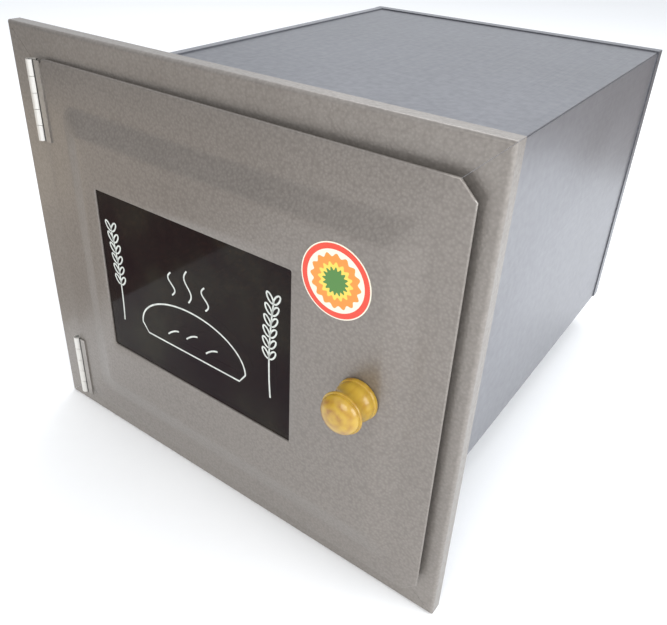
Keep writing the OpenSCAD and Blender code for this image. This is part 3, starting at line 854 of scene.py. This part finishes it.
# The rack's row of thin wires, laid out by a node tree from a count, a pitch and a wire size.
def makeRackWires():
    low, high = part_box("rack_wires")
    radius = wireGrid["wire"] / 2 * mm
    tree = bpy.data.node_groups.new("wireRow", "GeometryNodeTree")
    sockets = {"Count": "Int", "Start": "Vector", "Pitch": "Vector", "Radius": "Float", "Length": "Float",
               "Sides": "Int", "Material": "Material"}
    for label, kind in sockets.items():
        tree.interface.new_socket(label, in_out="INPUT", socket_type="NodeSocket" + kind)
    tree.interface.new_socket("Geometry", in_out="OUTPUT", socket_type="NodeSocketGeometry")
    link = tree.links.new
    start = addNode(tree, "NodeGroupInput", (-900, 0))
    row = addNode(tree, "GeometryNodeMeshLine", (-600, 200))
    rod = addNode(tree, "GeometryNodeMeshCylinder", (-600, -100))
    spread = addNode(tree, "GeometryNodeInstanceOnPoints", (-300, 100))
    spread.inputs["Rotation"].default_value = (math.pi / 2, 0, 0)
    real = addNode(tree, "GeometryNodeRealizeInstances", (-100, 100))
    smooth = addNode(tree, "GeometryNodeSetShadeSmooth", (80, 100))
    paint = addNode(tree, "GeometryNodeSetMaterial", (260, 100))
    end = addNode(tree, "NodeGroupOutput", (450, 100))
    link(start.outputs["Count"], row.inputs["Count"])
    link(start.outputs["Start"], row.inputs["Start Location"])
    link(start.outputs["Pitch"], row.inputs["Offset"])
    link(start.outputs["Radius"], rod.inputs["Radius"])
    link(start.outputs["Length"], rod.inputs["Depth"])
    link(start.outputs["Sides"], rod.inputs["Vertices"])
    link(row.outputs[0], spread.inputs["Points"])
    link(rod.outputs["Mesh"], spread.inputs["Instance"])
    link(spread.outputs[0], real.inputs[0])
    link(real.outputs[0], smooth.inputs["Geometry"])
    link(smooth.outputs[0], paint.inputs["Geometry"])
    link(start.outputs["Material"], paint.inputs["Material"])
    link(paint.outputs[0], end.inputs[0])
    values = {
        "Count": wireGrid["count"],
        "Start": (low.x + radius, (low.y + high.y) / 2, (low.z + high.z) / 2),
        "Pitch": ((high.x - low.x - 2 * radius) / (wireGrid["count"] - 1), 0, 0),
        "Radius": radius,
        "Length": high.y - low.y,
        "Sides": wireGrid["sides"],
        "Material": rackWire,
    }
    holder = bpy.data.objects.new("wireHolder", bpy.data.meshes.new("wireHolder"))
    bpy.context.scene.collection.objects.link(holder)
    modifier = holder.modifiers.new("wires", "NODES")
    modifier.node_group = tree
    for item in tree.interface.items_tree:
        if item.in_out == "INPUT":
            modifier[item.identifier] = values[item.name]
    shown = holder.evaluated_get(bpy.context.evaluated_depsgraph_get())
    mesh = bpy.data.meshes.new_from_object(shown)
    mesh.set_sharp_from_angle(angle=math.radians(50))
    bpy.data.objects.remove(holder)
    wires = bpy.data.objects.new("rackWires", mesh)
    bpy.context.scene.collection.objects.link(wires)
    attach(wires, "rack")
    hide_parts("rack_wires")


bendSizes = {"frame": 0.5, "box": 0.35, "hinge": 0.25}


# Eased bends on the sheet-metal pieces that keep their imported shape.
def easeEdges(names, width):
    for name in names:
        bevel = frame["nodes"][name].modifiers.new("easedBend", "BEVEL")
        bevel.width = width * mm
        bevel.segments = 2
        bevel.limit_method = "ANGLE"
        bevel.angle_limit = math.radians(40)
        bevel.use_clamp_overlap = True


makeDoorSkin()
makeKnob(knobWood)
makePrintPiece()
makeRackWires()
easeEdges(coats[framePaint], bendSizes["frame"])
easeEdges(coats[boxSteel] + coats[sideSteelPaintedLighter], bendSizes["box"])
easeEdges(coats[hingePaint], bendSizes["hinge"])
print("stage: dressed pieces")


# Studio

studio = {
    "floorZ": -0.0345,
    "floorColour": (0.98, 0.98, 0.98),
    "worldLight": 0.88,
}


def addPlane(name, corners, material):
    mesh = bpy.data.meshes.new(name)
    mesh.from_pydata(corners, [], [(0, 1, 2, 3)])
    obj = bpy.data.objects.new(name, mesh)
    mesh.materials.append(material)
    bpy.context.scene.collection.objects.link(obj)
    return obj


def makeFloor():
    material, tree, shader, coords = newMaterial("floorPaper")
    link = tree.links.new
    speck = addNode(tree, "ShaderNodeTexNoise", (-800, 0))
    setInput(speck, "Scale", 60.0)
    link(coords, speck.inputs["Vector"])
    plain = studio["floorColour"]
    tone = mixColour(tree, (-400, 0), speck.outputs["Fac"], plain, tuple(x * 1.02 for x in plain))
    link(tone, shader.inputs["Base Color"])
    shader.inputs["Roughness"].default_value = 0.9
    z = studio["floorZ"]
    return addPlane("floor", [(-6, -6, z), (6, -6, z), (6, 6, z), (-6, 6, z)], material)


# Cards that only the metal sees: a dark wall to the left and dark ground behind, as in the room of the photo.
def makeCards():
    for name, colour, corners in (
        ("leftCard", (0.10, 0.10, 0.10),
         [(-1.6, -3.0, -0.03), (-1.6, 0.6, -0.03), (-1.6, 0.6, 1.4), (-1.6, -3.0, 1.4)]),
        ("leftGround", (0.32, 0.28, 0.24),
         [(-1.8, -1.5, -0.033), (-0.3, -1.1, -0.033), (-0.3, -0.03, -0.033), (-1.8, -0.03, -0.033)]),
        ("rearCard", (0.2, 0.165, 0.15),
         [(0.28, 0.95, -0.033), (1.6, 0.95, -0.033), (1.9, 3.4, -0.033), (0.28, 3.4, -0.033)]),
    ):
        material, tree, shader, coords = newMaterial(name)
        speck = addNode(tree, "ShaderNodeTexNoise", (-800, 0))
        setInput(speck, "Scale", 8.0)
        tree.links.new(coords, speck.inputs["Vector"])
        tone = mixColour(tree, (-400, 0), speck.outputs["Fac"], colour, tuple(x * 1.6 for x in colour))
        tree.links.new(tone, shader.inputs["Base Color"])
        shader.inputs["Roughness"].default_value = 0.9
        card = addPlane(name, corners, material)
        card.visible_camera = False
        card.visible_diffuse = False
        card.visible_shadow = False


def makeWorld():
    world = bpy.data.worlds.new("studio")
    bpy.context.scene.world = world
    world.use_nodes = True
    tree = world.node_tree
    link = tree.links.new
    back = tree.nodes["Background"]
    back.inputs["Color"].default_value = (0.93, 0.96, 1.0, 1)
    back.inputs["Strength"].default_value = studio["worldLight"]
    white = addNode(tree, "ShaderNodeBackground", (0, 200))
    white.inputs["Color"].default_value = (1, 1, 1, 1)
    path = addNode(tree, "ShaderNodeLightPath", (-200, 400))
    mix = addNode(tree, "ShaderNodeMixShader", (200, 300))
    link(path.outputs["Is Camera Ray"], mix.inputs[0])
    link(back.outputs[0], mix.inputs[1])
    link(white.outputs[0], mix.inputs[2])
    link(mix.outputs[0], tree.nodes["World Output"].inputs["Surface"])


def addLamp(name, place, target, size, power, colour):
    light = bpy.data.lights.new(name, "AREA")
    light.shape = "RECTANGLE"
    light.size, light.size_y = size
    light.energy = power
    light.color = colour
    obj = bpy.data.objects.new(name, light)
    obj.location = place
    obj.rotation_mode = "QUATERNION"
    obj.rotation_quaternion = (Vector(target) - Vector(place)).to_track_quat("-Z", "Y")
    obj.visible_camera = False
    bpy.context.scene.collection.objects.link(obj)
    return obj


makeFloor()
makeCards()
makeWorld()
addLamp("keySoftbox", (0.5, -1.6, 1.5), (0, 0.1, 0.1), (1.2, 1.2), 17, (1.0, 0.98, 0.95))
addLamp("rightSoftbox", (1.6, 0.1, 0.8), (0, 0.2, 0.1), (1.4, 1.0), 20, (0.94, 0.97, 1.0))
addLamp("topSoftbox", (-0.3, 1.3, 1.6), (0, 0.3, 0.2), (1.5, 1.0), 14, (0.95, 0.97, 1.0))
addLamp("warmCard", (-0.6, -0.24, 0.02), (-0.15, -0.02, 0.17), (0.1, 0.2), 0.06, (1.0, 0.85, 0.6))

photoCamera = {
    "location": (0.3077, -0.3158, 0.4193),
    "right": (0.80603, 0.59082, 0.03527),
    "down": (0.3242, -0.39086, -0.86147),
    "lens": 38.04,
    "shiftX": 0.01737,
    "shiftY": -0.04728,
}


def makeCamera():
    right = Vector(photoCamera["right"]).normalized()
    up = -Vector(photoCamera["down"])
    back = right.cross(up).normalized()
    up = back.cross(right)
    data = bpy.data.cameras.new("photoCamera")
    data.sensor_width = 36
    data.lens = photoCamera["lens"]
    data.shift_x = photoCamera["shiftX"]
    data.shift_y = photoCamera["shiftY"]
    data.clip_start = 0.01
    obj = bpy.data.objects.new("photoCamera", data)
    turned = Matrix((right, up, back)).transposed().to_4x4()
    obj.matrix_world = Matrix.Translation(photoCamera["location"]) @ turned
    bpy.context.scene.collection.objects.link(obj)
    bpy.context.scene.camera = obj


makeCamera()
bpy.context.scene.view_settings.view_transform = "Standard"
print("stage: studio")
